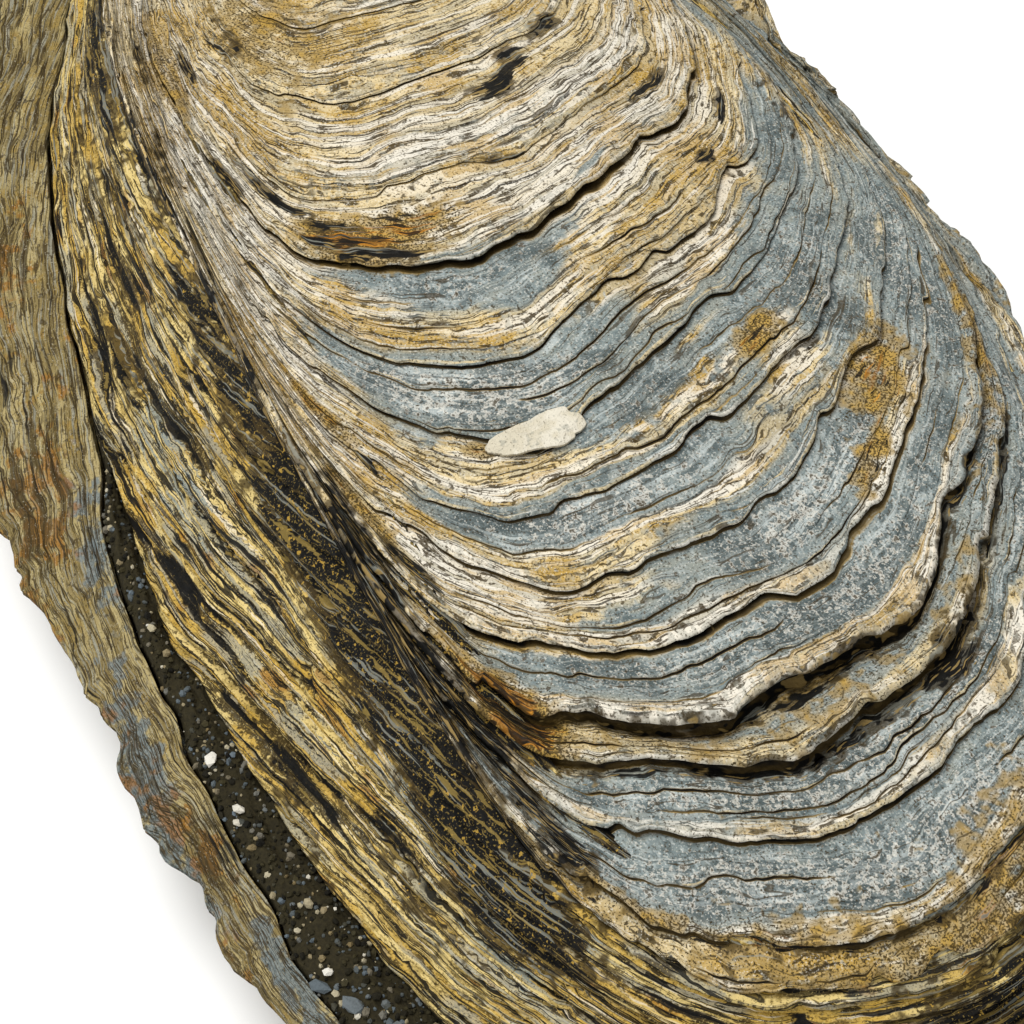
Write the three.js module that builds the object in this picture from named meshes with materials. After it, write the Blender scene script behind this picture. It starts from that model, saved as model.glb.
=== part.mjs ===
// A fossil oyster with both valves closed, lying on its lower valve, in millimetres, +Z up.
// +X runs from the beak to the ventral tip and -Y is the tall side, where the stacked growth layers show.
// The upper valve is a low dome of overlapping growth layers above a wall of layer edges, the lower valve is a
// shallow cup with a thin flange, and sandy sediment fills the body cavity and shows in the seam between them.
import * as THREE from "three";

// Whole shell
const columns = 64;                  // facets around every growth line
const middle = { x: -17.77, y: 11.64 }; // middle of the shell's box in plan, moved onto the origin
const seamHeight = 16;               // level of the seam between the valves
const gap = 0.3;                     // parting between neighbouring solids

// Dome that the upper valve's growth layers lie on
const dome = { top: 36, x: -12, y: 8, radiusAlong: 150, radiusAcross: 80 };

// Growth line: a skewed oval around the beak that widens quickly and then mostly lengthens
const beak = { x: -63.5, y: 32.3 };
const growth = {
  behindBeak: 0.12,                  // share of the reach that grows behind the beak
  left: 26.5, leftRate: 31.7,        // half width towards -Y, and the reach in which it grows
  right: 31.1, rightRate: 43.3,
  drift: -0.218, driftCurve: 0.00072, // sideways shift of the middle with the reach
  skew: -0.21, square: 0.27, taper: 0.13,
};

// Reach of each growth ledge from the beak, and the height of its step
const ledges = [
  { reach: 12, step: 0.5 }, { reach: 21, step: 0.6 }, { reach: 30, step: 0.7 },
  { reach: 40, step: 0.6 }, { reach: 47, step: 1.5 }, { reach: 55.7, step: 1.1 },
  { reach: 61.6, step: 1.3 }, { reach: 68.7, step: 1.0 }, { reach: 74.5, step: 1.0 },
  { reach: 80.8, step: 1.3 }, { reach: 86.6, step: 2.2 }, { reach: 90.1, step: 1.8 },
  { reach: 95.7, step: 1.2 }, { reach: 103.2, step: 1.5 },
];
const firstReach = 5;                // the smooth tip of the beak
const crownReach = 105.8;            // reach of the crown's outer edge
const longLayer = 7.4;               // a layer longer than this has one more ring along its middle

// Plan distances outwards from the crown's edge, at eight stations from the ventral tip
// round the right side, the beak's end and the left side
const wallFoot = [8.5, 6, 3.2, 3, 2.5, 5, 9.7, 7.8];
const sediment = [11.5, 8, 4.4, 4.2, 4.2, 6.8, 11.5, 13.5];
const rim = [14.5, 10.5, 6.2, 7.5, 15, 17.5, 17.3, 15.4];
const wallSteps = 5;                 // stacked layer edges on the wall
const wallStepDepth = 0.9;

// Body cavity and lower valve
const cavity = { x: -15, y: 14, rise: 3, fall: 6 };
const sedimentEdge = 2.6;            // thickness of the sediment at its exposed edge
const flange = { lipDrop: 0.5, bulge: 0.3, rimHeight: 12, thickness: 1.4, bevel: 1 };
const restSpot = { x: -25, y: 16, halfLength: 25, halfWidth: 15 };  // flat scar of the valve's old foothold
const cupSteps = 6;                  // growth ledges under the lower valve
const cupStepDepth = 1.1;
const cupStepWidth = 0.03;           // share of the slope that a step takes up

const shellColour = 0xb9ab88;
const lowerColour = 0x9c8f6c;
const sedimentColour = 0x3b3527;

// Slow waves of the growth lines: height in mm, lobes around the line, phase, and turn with the reach
const waves = [
  [0.7, 3, 0.4, 0.05], [0.5, 5, 1.9, -0.08], [0.4, 8, 4.1, 0.11], [0.3, 13, 2.6, -0.19],
];

const rimWaves = [[0.5, 6, 1.1, 0], [0.5, 9, 3.7, 0], [0.35, 14, 0.6, 0]];

function waveSum(list, reach, angle) {
  return list.reduce(
    (sum, [size, lobes, phase, turn]) => sum + size * Math.sin(lobes * angle + phase + turn * reach), 0);
}

function waviness(reach, angle) {
  return Math.min(1, reach / 60) * waveSum(waves, reach, angle);
}

// Smooth curve through the eight station values, with its ends joined
function atStation(values, angle) {
  const n = values.length;
  const place = ((angle / (2 * Math.PI)) * n + n) % n;
  const i = Math.floor(place);
  const t = place - i;
  const [p, q, r, s] = [-1, 0, 1, 2].map((k) => values[(i + k + n) % n]);
  return q + 0.5 * t * (r - p + t * (2 * p - 5 * q + 4 * r - s + t * (3 * (q - r) + s - p)));
}

function domeHeight(x, y) {
  return dome.top - (x - dome.x) ** 2 / (2 * dome.radiusAlong) - (y - dome.y) ** 2 / (2 * dome.radiusAcross);
}

// Point of the growth line of a given reach, in plan
function growthPoint(reach, angle) {
  const g = growth;
  const half = (reach * (1 + g.behindBeak)) / 2;
  const along = half * Math.cos(angle);
  const left = g.left * (1 - Math.exp(-reach / g.leftRate));
  const right = g.right * (1 - Math.exp(-reach / g.rightRate));
  const width = left + (right - left) * (0.5 + 0.5 * Math.sin(angle));
  const shape = 1 + g.taper * Math.cos(angle) + g.square * Math.cos(angle) ** 2;
  return new THREE.Vector2(
    beak.x - reach * g.behindBeak + half + along,
    beak.y + g.drift * reach + g.driftCurve * reach ** 2 + width * Math.sin(angle) * shape + g.skew * along,
  );
}

// Unit direction in plan that points out of the growth line
function outwards(reach, angle) {
  const step = 1e-3;
  const a = growthPoint(reach, angle - step);
  const b = growthPoint(reach, angle + step);
  return new THREE.Vector2(b.y - a.y, a.x - b.x).normalize();
}

// How far apart neighbouring growth lines lie here: 1 at the ventral tip, less where they crowd together
function spread(reach, angle) {
  return growthPoint(reach + 0.5, angle).distanceTo(growthPoint(reach - 0.5, angle));
}

// One ring of points: pointAt gives the point at each angle
function ring(pointAt) {
  return Array.from({ length: columns }, (_, i) => pointAt((i / columns) * 2 * Math.PI));
}

// Growth line on the dome, raised by lift and pushed out by push where the lines are well apart
function crownRing(reach, lift, push) {
  return ring((angle) => {
    const open = Math.min(1, spread(reach, angle));
    const plan = growthPoint(reach + waviness(reach, angle), angle);
    const z = domeHeight(plan.x, plan.y) + lift * (0.25 + 0.75 * open);
    plan.addScaledVector(outwards(reach, angle), push * open);
    return new THREE.Vector3(plan.x, plan.y, z);
  });
}

// Plan point at a distance outwards from the crown's edge
function outsideEdge(angle, distance) {
  const wavy = growthPoint(crownReach + waviness(crownReach, angle), angle);
  return wavy.addScaledVector(outwards(crownReach, angle), distance);
}

// Crown: between two ledges the layer rises to its lip, and drops under it to the foot of the next layer
function crownRings() {
  const rings = [crownRing(firstReach, 0.2, 0)];
  ledges.forEach(({ reach, step }, i) => {
    const before = i ? ledges[i - 1].reach : firstReach;
    if (reach - before > longLayer) rings.push(crownRing((reach + before) / 2, 0, 0));
    rings.push(crownRing(reach - 0.25, step / 2, 0.3 * step));
    rings.push(crownRing(reach + 0.25, -step / 2, -0.1 * step));
  });
  rings.push(crownRing(crownReach, 0.2, 0));
  return rings;
}

// Wall of stacked layer edges from the crown's edge down to the seam
function wallRings() {
  const rings = [];
  for (let i = 1; i <= wallSteps; i++) {
    const foot = i === wallSteps;
    const levels = foot ? [[1, 0]] : [[i / wallSteps - 0.05, 0.5], [i / wallSteps + 0.03, -0.5]];
    for (const [down, side] of levels) {
      rings.push(ring((angle) => {
        const reach = atStation(wallFoot, angle);
        const depth = wallStepDepth * side * Math.min(1, reach / 6);
        const plan = outsideEdge(angle, reach * down + depth);
        const edge = outsideEdge(angle, 0);
        const top = domeHeight(edge.x, edge.y);
        return new THREE.Vector3(plan.x, plan.y, top + (seamHeight - top) * down ** 0.85);
      }));
    }
  }
  return rings;
}

// Ring inside the wall's foot: share 1 is the foot and 0 the middle of the body cavity
function cavityRing(share, height) {
  return ring((angle) => {
    const foot = outsideEdge(angle, atStation(wallFoot, angle));
    return new THREE.Vector3(
      cavity.x + (foot.x - cavity.x) * share, cavity.y + (foot.y - cavity.y) * share, height);
  });
}

const cavityShares = [0.85, 0.5];
const roofHeight = (share) => seamHeight + cavity.rise * (1 - share ** 2);
const floorHeight = (share) => seamHeight - sedimentEdge - cavity.fall * (1 - share ** 2);

// Ring at a station distance outside the crown's edge
function stationRing(stations, extra, height) {
  return ring((angle) => {
    const plan = outsideEdge(angle, atStation(stations, angle) + extra);
    return new THREE.Vector3(plan.x, plan.y, height);
  });
}

// Outer edge of the lower valve, with its ragged waves; inset moves it back towards the crown
function rimRing(inset, height) {
  return ring((angle) => {
    const plan = outsideEdge(angle, atStation(rim, angle) + waveSum(rimWaves, 0, angle) - inset);
    return new THREE.Vector3(plan.x, plan.y, height);
  });
}

// Top of the flange, halfway between the sediment and the rim
function flangeRing() {
  return ring((angle) => {
    const plan = outsideEdge(angle, (atStation(sediment, angle) + atStation(rim, angle)) / 2);
    return new THREE.Vector3(plan.x, plan.y, (seamHeight + flange.rimHeight) / 2 + flange.bulge);
  });
}

// Edge of the flat scar that the shell rests on
function scarRing() {
  return ring((angle) => new THREE.Vector3(
    restSpot.x + restSpot.halfLength * Math.cos(angle), restSpot.y + restSpot.halfWidth * Math.sin(angle), 0));
}

// Underside of the lower valve: growth ledges from the rim in to the scar, on a bowl-shaped slope
function cupRings() {
  const outer = rimRing(flange.bevel, flange.rimHeight - flange.thickness);
  const scar = scarRing();
  const rings = [outer];
  for (let i = 1; i < cupSteps; i++) {
    for (const side of [0.5, -0.5]) {
      const inwards = i / cupSteps - side * cupStepWidth;
      rings.push(outer.map((point, c) => {
        const step = side * cupStepDepth * (1 - inwards);
        const slope = point.z * (1 - inwards) ** 1.5;
        return point.clone().lerp(scar[c], inwards).setZ(slope - step);
      }));
    }
  }
  return [...rings, scar];
}

// Closed surface from a top point through rings to a bottom point
function skin(topPoint, rings, bottomPoint) {
  const points = [topPoint, ...rings.flat(), bottomPoint];
  const faces = [];
  const at = (r, c) => 1 + r * columns + (c % columns);
  const last = points.length - 1;
  for (let c = 0; c < columns; c++) {
    faces.push(0, at(0, c), at(0, c + 1));
    for (let r = 0; r + 1 < rings.length; r++) {
      faces.push(at(r, c), at(r + 1, c), at(r + 1, c + 1));
      faces.push(at(r, c), at(r + 1, c + 1), at(r, c + 1));
    }
    faces.push(last, at(rings.length - 1, c + 1), at(rings.length - 1, c));
  }
  const geometry = new THREE.BufferGeometry().setFromPoints(points);
  geometry.setIndex(faces);
  geometry.computeVertexNormals();
  return geometry;
}

function piece(name, geometry, colour, roughness) {
  const mesh = new THREE.Mesh(
    geometry, new THREE.MeshStandardMaterial({ color: colour, roughness, metalness: 0, flatShading: true }));
  mesh.name = name;
  return mesh;
}

function upperValve() {
  const underside = cavityShares.map((share) => cavityRing(share, roofHeight(share)));
  return skin(
    new THREE.Vector3(beak.x, beak.y, domeHeight(beak.x, beak.y) + 0.5),
    [...crownRings(), ...wallRings(), ...underside],
    new THREE.Vector3(cavity.x, cavity.y, roofHeight(0)));
}

function sedimentFill() {
  const inner = [...cavityShares].reverse();
  return skin(
    new THREE.Vector3(cavity.x, cavity.y, roofHeight(0) - gap),
    [
      ...inner.map((share) => cavityRing(share, roofHeight(share) - gap)),
      cavityRing(1, seamHeight - gap),
      stationRing(sediment, 0, seamHeight - gap - 0.5),
      stationRing(sediment, 0, seamHeight - sedimentEdge),
      cavityRing(1, seamHeight - sedimentEdge - 0.2),
      ...cavityShares.map((share) => cavityRing(share, floorHeight(share))),
    ],
    new THREE.Vector3(cavity.x, cavity.y, floorHeight(0)));
}

function lowerValve() {
  const inner = [...cavityShares].reverse();
  return skin(
    new THREE.Vector3(cavity.x, cavity.y, floorHeight(0) - gap),
    [
      ...inner.map((share) => cavityRing(share, floorHeight(share) - gap)),
      cavityRing(1, seamHeight - sedimentEdge - 0.2 - gap),
      stationRing(sediment, gap, seamHeight - sedimentEdge - gap),
      stationRing(sediment, gap, seamHeight - flange.lipDrop),
      flangeRing(),
      rimRing(0, flange.rimHeight),
      ...cupRings(),
    ],
    new THREE.Vector3(restSpot.x, restSpot.y, 0));
}

const oyster = new THREE.Group();
oyster.add(piece("upper_valve", upperValve(), shellColour, 0.7));
oyster.add(piece("lower_valve", lowerValve(), lowerColour, 0.75));
oyster.add(piece("sediment_fill", sedimentFill(), sedimentColour, 0.95));
oyster.position.set(-middle.x, -middle.y, 0);

export default oyster;
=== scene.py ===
# Fossil oyster with both valves closed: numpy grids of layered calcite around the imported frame.
# All shape values are in millimetres, in the frame's axes before the shell is moved onto its middle.
import math

import bpy
import numpy as np
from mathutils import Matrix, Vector


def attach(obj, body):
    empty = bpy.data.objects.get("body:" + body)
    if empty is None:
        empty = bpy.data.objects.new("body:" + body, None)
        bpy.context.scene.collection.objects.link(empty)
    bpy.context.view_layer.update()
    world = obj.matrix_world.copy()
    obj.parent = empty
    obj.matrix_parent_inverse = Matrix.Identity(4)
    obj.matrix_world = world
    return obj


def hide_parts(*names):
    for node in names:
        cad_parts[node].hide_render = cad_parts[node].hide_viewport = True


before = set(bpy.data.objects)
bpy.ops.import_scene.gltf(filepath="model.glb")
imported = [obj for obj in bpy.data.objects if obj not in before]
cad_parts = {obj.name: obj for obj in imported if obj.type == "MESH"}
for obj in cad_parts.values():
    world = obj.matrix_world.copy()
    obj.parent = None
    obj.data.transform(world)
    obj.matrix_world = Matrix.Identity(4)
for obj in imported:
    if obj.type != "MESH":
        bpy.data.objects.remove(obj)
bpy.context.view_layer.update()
metresPerMm = 0.001
fullTurn = 2 * math.pi

# Shared shape of the shell, the same driving sizes as the solids in the frame
shell = {
    "middle": (-17.77, 11.64),       # plan middle of the shell's box
    "beak": (-63.5, 32.3),
    "behindBeak": 0.12,              # share of the reach that grows behind the beak
    "left": (26.5, 31.7),            # half width towards -Y, and the reach in which it grows
    "right": (31.1, 43.3),
    "drift": (-0.218, 0.00072),      # sideways shift of the middle with the reach
    "skew": -0.21,                   # sideways shift for each mm along the shell
    "square": 0.27, "taper": 0.13,   # how much wider both ends are, and the ventral end beyond that
    "domeTop": 36, "domeMiddle": (-12, 8),
    "domeRadii": (150, 80),          # radii of curvature along and across
    "crownReach": 105.8,             # reach of the crown's outer edge
    "seam": 16,                      # level of the seam between the valves
    "wavesFull": 60,                 # reach by which the slow waves have grown in
    # size in mm, lobes round the shell, phase and turn with the reach
    "waves": [(0.7, 3, 0.4, 0.05), (0.5, 5, 1.9, -0.08), (0.4, 8, 4.1, 0.11), (0.3, 13, 2.6, -0.19)],
    "rimWaves": [(0.5, 6, 1.1, 0), (0.5, 9, 3.7, 0), (0.35, 14, 0.6, 0)],
    # plan distances outwards from the crown's edge at eight stations from the ventral tip, right side first
    "wallFoot": (8.5, 6, 3.2, 3, 2.5, 5, 9.7, 7.8),
    "sediment": (11.5, 8, 4.4, 4.2, 4.2, 6.8, 11.5, 13.5),
    "rim": (14.5, 10.5, 6.2, 7.5, 15, 17.5, 17.3, 15.4),
}


# Sum of sine waves around the shell: size x sin(lobes x angle + phase + turn x reach)
def waveSum(waves, reach, angle):
    return sum(size * np.sin(lobes * angle + phase + turn * reach) for size, lobes, phase, turn in waves)


def waviness(reach, angle):  # the slow waves grow in with the reach
    return np.minimum(1, reach / shell["wavesFull"]) * waveSum(shell["waves"], reach, angle)


# Growth line of a given reach: an ellipse whose half widths saturate, skewed and squared at its ends
def growthPoint(reach, angle):
    behind = shell["behindBeak"]
    half = reach * (1 + behind) / 2
    along = half * np.cos(angle)
    left = shell["left"][0] * (1 - np.exp(-reach / shell["left"][1]))
    right = shell["right"][0] * (1 - np.exp(-reach / shell["right"][1]))
    width = left + (right - left) * (0.5 + 0.5 * np.sin(angle))
    ends = 1 + shell["taper"] * np.cos(angle) + shell["square"] * np.cos(angle) ** 2
    x = shell["beak"][0] - reach * behind + half + along
    y = shell["beak"][1] + shell["drift"][0] * reach + shell["drift"][1] * reach ** 2
    return x, y + width * np.sin(angle) * ends + shell["skew"] * along


# Unit direction that points out of a growth line: the tangent turned by a quarter
def outwards(reach, angle):
    ax, ay = growthPoint(reach, angle - 1e-3)
    bx, by = growthPoint(reach, angle + 1e-3)
    length = np.hypot(bx - ax, by - ay)
    return (by - ay) / length, (ax - bx) / length


def spread(reach, angle):  # plan distance between lines 1 mm of reach apart: 1 at the ventral tip
    ax, ay = growthPoint(reach - 0.5, angle)
    bx, by = growthPoint(reach + 0.5, angle)
    return np.minimum(1, np.hypot(bx - ax, by - ay))


# The dome: a parabola along the shell plus one across it, taken off the top height
def domeHeight(x, y):
    along = (x - shell["domeMiddle"][0]) ** 2 / (2 * shell["domeRadii"][0])
    across = (y - shell["domeMiddle"][1]) ** 2 / (2 * shell["domeRadii"][1])
    return shell["domeTop"] - along - across


# Smooth closed curve through the eight station values: a cubic between each pair
def atStation(values, angle):
    values = np.array(values, float)
    place = (angle / fullTurn * len(values)) % len(values)
    i = np.floor(place).astype(int)
    t = place - i
    p, q, r, s = (values[(i + k) % len(values)] for k in (-1, 0, 1, 2))
    return q + 0.5 * t * (r - p + t * (2 * p - 5 * q + 4 * r - s + t * (3 * (q - r) + s - p)))


# Point at a distance outside the crown's edge, along the edge's own outward direction
def outsideEdge(angle, distance):
    reach = shell["crownReach"]
    x, y = growthPoint(reach + waviness(reach, angle), angle)
    nx, ny = outwards(reach, angle)
    return x + nx * distance, y + ny * distance


# Columns that stand evenly along a growth line, found from its running length: the angle and the share of the
# way round of each, and the length of the line
def evenColumns(reach, columns):
    fine = np.linspace(-math.pi, math.pi, 4001)
    x, y = growthPoint(reach, fine)
    run = np.concatenate([[0], np.cumsum(np.hypot(np.diff(x), np.diff(y)))])
    turn = np.arange(columns) / columns
    return np.interp(turn * run[-1], run, fine), turn, run[-1]


# Smooth noise in -1..1: seeded random values on a lattice that closes around the shell, blended by a smooth
# step between its points
def noise(turn, step, lobes, seed):
    turn, step = np.broadcast_arrays(turn, np.maximum(step, 0))
    rows = int(math.floor(step.max())) + 2
    lattice = np.random.default_rng(seed).uniform(-1, 1, (rows, lobes))
    a = turn * lobes
    i = np.floor(a).astype(int)
    j = np.floor(step).astype(int)
    u, v = a - i, step - j
    u, v = u * u * (3 - 2 * u), v * v * (3 - 2 * v)
    top = lattice[j, i % lobes] * (1 - u) + lattice[j, (i + 1) % lobes] * u
    low = lattice[j + 1, i % lobes] * (1 - u) + lattice[j + 1, (i + 1) % lobes] * u
    return top * (1 - v) + low * v


# Rough line around the shell: noise of three sizes, each half as long and about half as strong as the last
def raggedLine(turn, perimeter, length, seed):
    total = 0
    for octave, strength in enumerate((1, 0.55, 0.32)):
        lobes = max(5, round(perimeter / length * 2 ** octave))
        total = total + strength * noise(turn, np.zeros(1), lobes, seed + octave)
    return total / 1.4  # brings most of it within -1..1


def rampUp(x, low, high):  # smooth rise from 0 at low to 1 at high
    t = np.clip((x - low) / (high - low), 0, 1)
    return t * t * (3 - 2 * t)


# Soft oval patch over (reach, angle in degrees): its strength in the middle, half of it at the half sizes
def patch(reach, angle, spot):
    middleReach, middleAngle, halfReach, halfAngle, strength = spot
    turned = (np.degrees(angle) - middleAngle + 180) % 360 - 180
    away = ((reach - middleReach) / halfReach) ** 2 + (turned / halfAngle) ** 2
    return strength * np.exp(-0.7 * away ** 1.5)


def patches(reach, angle, spots):  # the strongest of several patches at each place
    total = np.zeros(np.broadcast_shapes(np.shape(reach), np.shape(angle)))
    for spot in spots:
        total = np.maximum(total, patch(reach, angle, spot))
    return total


def joined(*values):  # arrays and numbers of matching shapes as the last axis of one array
    return np.stack(np.broadcast_arrays(*values), -1)


# Rows, each a list of numbers or of one value for each column, as one whole array for each item of the list
def wholeRows(rows, columns):
    rows = [[np.broadcast_to(value, columns).astype(float) for value in row] for row in rows]
    return np.array(rows).transpose(1, 0, 2)


# Coordinates that run round the shell in mm, on circles of the given radius, and outwards by another measure
def flowField(turn, radius, out):
    return joined(radius * np.cos(turn * fullTurn), radius * np.sin(turn * fullTurn), out)


def addObject(name, data):  # at the origin, unturned and unscaled
    thing = bpy.data.objects.new(name, data)
    bpy.context.collection.objects.link(thing)
    return thing


def addVectors(mesh, label, values):  # vectors of three numbers on each vertex
    layer = mesh.attributes.new(label, "FLOAT_VECTOR", "POINT")
    layer.data.foreach_set("vector", values.astype(np.float32).ravel())


# A finished mesh becomes a piece: it rides on the shell's one body and stands for the nodes named
def addPiece(name, mesh, material, nodes=()):
    piece = addObject(name, mesh)
    mesh.materials.append(material)
    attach(piece, "root")
    if nodes:
        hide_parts(*nodes)
    print(f"{name}: {len(mesh.loops) - 2 * len(mesh.polygons)} triangles")


endBand = 0.01  # share of the flat map's height that the fan at each end fills


# Closed mesh from a grid of points (rows, columns, 3) with a point at each end: a quad for each cell, and a
# fan of triangles at both ends. Its flat map has the columns along u and the rows along v
def gridPiece(name, points, attributes, material, nodes=()):
    rows, columns = points.shape[:2]
    ends = np.stack([points[0].mean(0), points[-1].mean(0)])
    places = np.concatenate([points.reshape(-1, 3), ends]) - [*shell["middle"], 0]
    r, c = np.meshgrid(np.arange(rows - 1), np.arange(columns), indexing="ij")
    following = (c + 1) % columns
    quads = joined(r * columns + c, (r + 1) * columns + c,
                   (r + 1) * columns + following, r * columns + following).reshape(-1, 4)
    c = np.arange(columns)
    first = joined(rows * columns, c, (c + 1) % columns)
    low = (rows - 1) * columns
    last = joined(rows * columns + 1, low + (c + 1) % columns, low + c)
    loops = np.concatenate([quads.ravel(), first.ravel(), last.ravel()])
    sizes = np.concatenate([np.full(len(quads), 4), np.full(2 * columns, 3)])
    mesh = bpy.data.meshes.new(name)
    mesh.vertices.add(len(places))
    mesh.vertices.foreach_set("co", (places * metresPerMm).astype(np.float32).ravel())
    mesh.loops.add(len(loops))
    mesh.loops.foreach_set("vertex_index", loops.astype(np.int32))
    mesh.polygons.add(len(sizes))
    starts = np.concatenate([[0], np.cumsum(sizes)[:-1]])
    mesh.polygons.foreach_set("loop_start", starts.astype(np.int32))
    mesh.update(calc_edges=True)
    for label, values in attributes.items():
        ends = values[:1].mean(1), values[-1:].mean(1)
        addVectors(mesh, label, np.concatenate([values.reshape(-1, 3), *ends]))
    u, v = np.meshgrid(np.arange(columns) / columns, np.linspace(endBand, 1 - endBand, rows))
    cornerU = u.ravel()[quads]
    cornerU[:, 2:] = np.where(following.ravel()[:, None] == 0, 1.0, cornerU[:, 2:])
    cornerV = v.ravel()[quads]
    fanU = joined((c + 0.5) / columns, c / columns, (c + 1) / columns)
    fanV = joined(0.0, np.full(columns, endBand), endBand)
    flat = joined(np.concatenate([cornerU.ravel(), fanU.ravel(), fanU[:, [0, 2, 1]].ravel()]),
                  np.concatenate([cornerV.ravel(), fanV.ravel(), 1 - fanV.ravel()]))
    layer = mesh.uv_layers.new(name="OFBake")
    layer.uv.foreach_set("vector", flat.astype(np.float32).ravel())
    mesh.validate()
    mesh.shade_smooth()
    addPiece(name, mesh, material, nodes)


def linearColour(hexText):  # sRGB hex to the linear values that shaders take
    parts = [int(hexText[i:i + 2], 16) / 255 for i in (1, 3, 5)]
    return (*[p / 12.92 if p <= 0.04045 else ((p + 0.055) / 1.055) ** 2.4 for p in parts], 1)


def newMaterial(name):  # gives the material, its node tree and its shader
    material = bpy.data.materials.new(name)
    material.use_nodes = True
    return material, material.node_tree, material.node_tree.nodes["Principled BSDF"]


# Adds one node of a shader kind: settings are its properties, inputs are values or the sockets that feed them.
# Gives one of its outputs
def addNode(tree, kind, settings=None, inputs=None, output=0):
    node = tree.nodes.new("ShaderNode" + kind)
    for key, value in (settings or {}).items():
        setattr(node, key, value)
    for key, value in (inputs or {}).items():
        if isinstance(value, bpy.types.NodeSocket):
            tree.links.new(value, node.inputs[key])
        else:
            node.inputs[key].default_value = value
    return node.outputs[output]


# Crown: ledges that show from a step away, and thin layer edges that crowd before each of them
crown = {
    # reach from the beak and height of the step
    "ledges": [(12, 0.5), (21, 0.6), (30, 0.6), (40, 0.7), (47, 0.85), (55.7, 0.6), (61.6, 0.65), (68.7, 0.5),
               (74.5, 0.55), (80.8, 0.75), (86.6, 2), (90.1, 1.6), (95.7, 0.7), (103.2, 0.9)],
    "firstReach": 5, "lastStep": 0.6,  # where the crown begins, and the step at its outer edge
    "thinEdges": (0.42, 0.63, 0.8, 0.91),  # shares of a layer where they stand
    "thinShift": 0.07,               # how far each strays from its share
    "narrow": 4,                     # reach of a layer up to which it has only the last of them
    "thinStep": (0.05, 0.22),        # height of a thin edge
    "swing": [(0.65, 16), (1.5, 9)],  # share by which main and thin steps change, and over what length
    "levelOver": 8,                  # reach over which the steps are evened out against the dome
    "wander": (0.4, 9),              # plan distance that neighbouring edges wander together, and its length
    "ragged": [(0.36, 6), (0.2, 3.5)],  # the same for each main and thin edge on its own
    "teeth": (0.2, 1.4),             # the same for the small teeth of every edge
    "chips": (0.8, 0.5),             # depth of the bites broken out of main and thin edges
    "leastSpread": 0.2,              # spread of the lines that plan distances are divided by, at least
    # tongues that an edge runs out in: number of the ledge, angle and half width in degrees, length in mm
    "tongues": [(6, -19, 9, 2), (7, -42, 9, 0.9), (8, -20, 9, 0.8), (8, 24, 7, -1.4), (9, 2, 8, 0.7),
                (10, 12, 8, 0.8), (10, 23, 4, -1), (11, -5, 8, 0.6), (4, -12, 10, 0.7), (5, 30, 8, -1),
                (12, 18, 8, 0.8), (12, -30, 9, -0.7)],
    "fold": (4, 1.3),                # plan distance over which the crown's edge rounds off, and how far down
    "tornBack": (1.3, 1.7),          # how far the last layer is torn back on the flanks, and how much rougher
    "tornFrom": 84,                  # reach from which the edges are more ragged on the flanks
    "closest": 0.05,                 # least reach between two edges
    "plainRows": (3, 1.1),           # most rows between two edges, and the reach that each takes up
    "lumps": (0.3, 1.1),             # heights of the slow swells on the crown and on its steep right side
    "rightSide": ((35, 70), (110, 150)),  # angles over which that side's forms set in and fade out
    "knobs": 2.6,                    # size of the knobs along the right side's edge
    "grain": 0.05,                   # height of the fine weathering
    "dorsal": (45, 0.3),             # reach before which steps are worn down, and to what share
    "seed": 11,
    # name, first and last ledge by number, columns
    "pieces": [("first_growth_layers", -1, 4, 500), ("middle_growth_layers", 4, 9, 620),
               ("last_growth_layers", 9, 14, 640)],
}
referenceReach = 80  # the growth line that columns are evenly spaced on

# Stains on the crown and the wall: reach, angle in degrees, half sizes in the same units, strength.
# On the wall the reach runs on from the crown's edge by the distance down it
blackStains = [
    (33.2, 1, 1.6, 6, 1.08), (31.8, 9, 1.3, 6, 1.08), (30.5, 21, 1.5, 7, 1.05), (28.5, -75, 4, 16, 0.8),
    (38, -91, 1.8, 8, 1.2), (42.4, -57, 0.9, 18, 1.15), (42.2, 31, 0.8, 12, 1.05), (50.2, 41, 1.3, 5, 1.1),
    (51.4, 28, 1, 3.5, 1.1), (45.4, -44, 0.9, 5, 1.2), (46.3, -37, 0.8, 5, 1.15), (46.4, -71, 1.2, 8, 1.25),
    (53, -81, 1.6, 8, 0.9), (40, -4, 0.6, 6, 1), (55, -112, 5, 8, 0.9), (61, 58, 3, 10, 0.8),
    (73, -89, 4.5, 4, 1.3), (70, -99, 14, 6, 0.9), (86, -62, 9, 9, 1.25), (94, -52, 7, 8, 1.2),
    (97, -68, 14, 14, 1.3), (92, -86, 14, 9, 1.1), (100, -46, 5, 7, 1.1), (99, -120, 5, 8, 1.2),
    (86, -107, 4, 9, 1.2), (84, -98, 3, 6, 1.2), (88, -91, 4, 5, 1.2), (79, -50, 1.6, 7, 1.1),
    (87.2, 5, 0.9, 60, 1), (91, 5, 0.9, 60, 1), (91.2, 14, 2, 6, 1.15), (103.8, -10, 0.8, 60, 0.8),
    (101, -110, 7, 30, 0.9), (107, -130, 2.4, 16, 1), (107.2, -74, 3.6, 22, 1.3), (108.6, -54, 5, 13, 1.3),
    (107, -95, 2.4, 12, 1.05), (117, -60, 2, 12, 0.7), (120, -108, 2, 10, 0.85), (124, -70, 1.6, 8, 0.8),
    (111, 6, 6, 20, 1.15), (46, -30, 0.9, 8, 1.1), (43.6, -40, 0.8, 8, 1.05), (113, -118, 7, 20, 0.6),
]
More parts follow.
